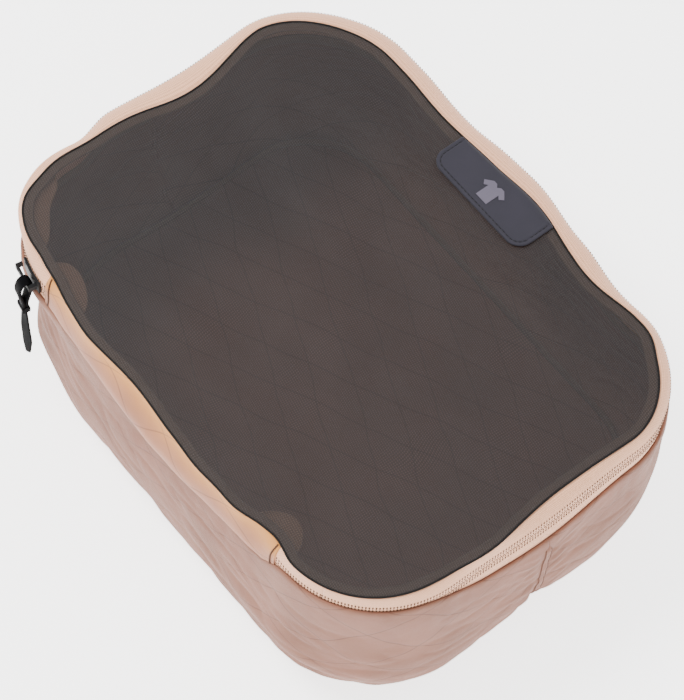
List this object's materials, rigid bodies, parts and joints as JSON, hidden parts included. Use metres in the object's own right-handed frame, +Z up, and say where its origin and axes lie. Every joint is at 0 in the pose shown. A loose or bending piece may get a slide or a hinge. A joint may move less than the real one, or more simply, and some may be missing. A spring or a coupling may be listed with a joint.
{
  "type": "packing cube",
  "caption": "Soft rectangular packing cube with a cloth tray, a see-through mesh lid that unzips on three sides, a zip slider and a hanging pull.",
  "frame": {"origin": "centre of the bottom panel's underside, on the surface it stands on", "axes": "+Z up through the lid, +X along the long side, +Y from the hinged side to the side with the label"},
  "size_m": [0.3632, 0.2835, 0.1305],
  "materials": {
    "ripstop": "soft ripstop cloth with faint diagonal grid",
    "zip_tape": "knitted zip tape",
    "coil": "moulded nylon coil",
    "binding": "narrow woven binding",
    "mesh": "fine ribbed see-through mesh",
    "label": "dense woven patch",
    "label_thread": "sewing thread",
    "label_mark": "printed emblem",
    "slider_metal": "black semi-gloss coating",
    "puller": "matt black coated cord"
  },
  "bodies": {
    "tray": {"bottom_panel": "ripstop", "gusset_front": "ripstop", "gusset_back": "ripstop", "end_seam_left": "ripstop", "end_seam_right": "ripstop", "bottom_seam_binding": "binding", "zip_seam_binding": "binding", "lower_zip_tape": "zip_tape", "lower_coil": "coil", "hinge_strip": "ripstop", "upper_tape_end": "zip_tape", "upper_coil_end": "coil", "start_stop": "coil", "end_stop": "coil"},
    "lid": {"mesh_panel": "mesh", "lid_binding": "binding", "upper_zip_tape": "zip_tape", "upper_coil": "coil", "label_patch": "label", "label_stitching": "label_thread", "label_mark": "label_mark"},
    "slider": {"slider_body": "slider_metal", "slider_crown": "slider_metal"},
    "pull": {"pull_loop": "puller", "pull_keeper": "puller", "pull_tail": "puller"}
  },
  "joints": [
    {"name": "lid_hinge", "type": "hinge", "parent": "tray", "child": "lid", "pos_m": [0, -0.1313, 0.1279], "axis": [1, 0, 0], "range_deg": [0, 180]},
    {"name": "slider_travel", "type": "hinge", "parent": "tray", "child": "slider", "pos_m": [-0.109, -0.066, 0.114], "axis": [0, 0, -1], "range_deg": [0, 70]},
    {"name": "pull_swing", "type": "hinge", "parent": "slider", "child": "pull", "pos_m": [-0.12017, -0.13708, 0.114], "axis": [-0.9816, 0.1908, 0], "range_deg": [0, 90]}
  ]
}
